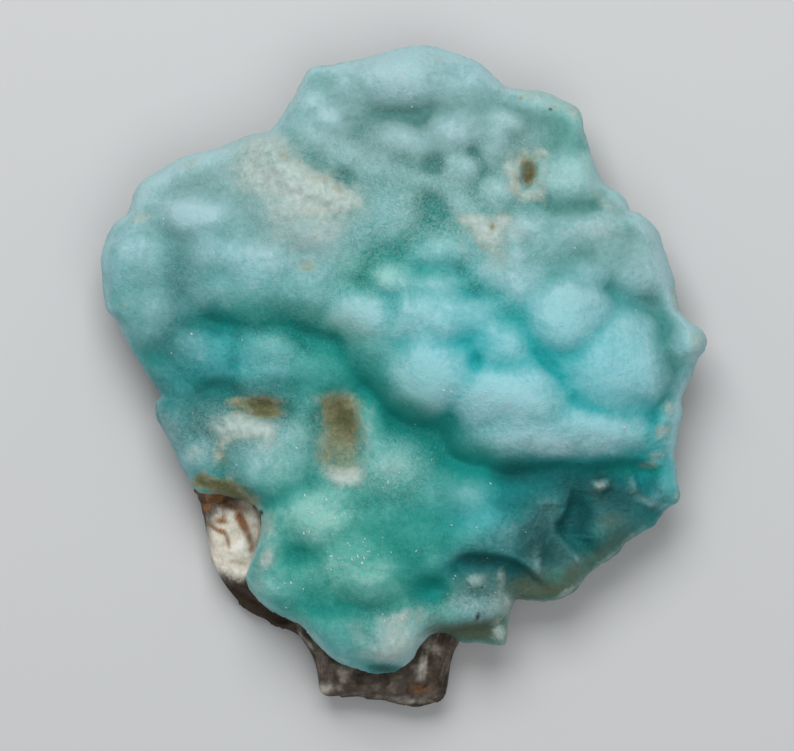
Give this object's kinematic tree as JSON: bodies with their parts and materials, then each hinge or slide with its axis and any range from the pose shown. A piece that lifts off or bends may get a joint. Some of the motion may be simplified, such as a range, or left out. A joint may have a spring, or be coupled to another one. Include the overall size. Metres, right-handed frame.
{
  "type": "botryoidal aragonite specimen",
  "caption": "Blue-green botryoidal aragonite crust of merged rounded lumps on a slab of brown and white host rock, lying on its rock side.",
  "frame": {"origin": "middle of the specimen's bounding box, on the plane it rests on", "axes": "+X to the right and +Y up across the crust's face as the picture shows it, +Z out of the crust's face, up as the specimen lies"},
  "size_m": [0.0819, 0.0894, 0.0207],
  "materials": {
    "aragonite": "translucent blue-green carbonate with a sugary, finely crystalline surface, pale on the lumps, deep teal in the valleys",
    "host_rock": "rough broken rock, grey-brown and dark brown, with a white rust-stained face"
  },
  "bodies": {
    "root": {"aragonite_crust": "aragonite", "matrix_rock": "host_rock"}
  },
  "joints": []
}
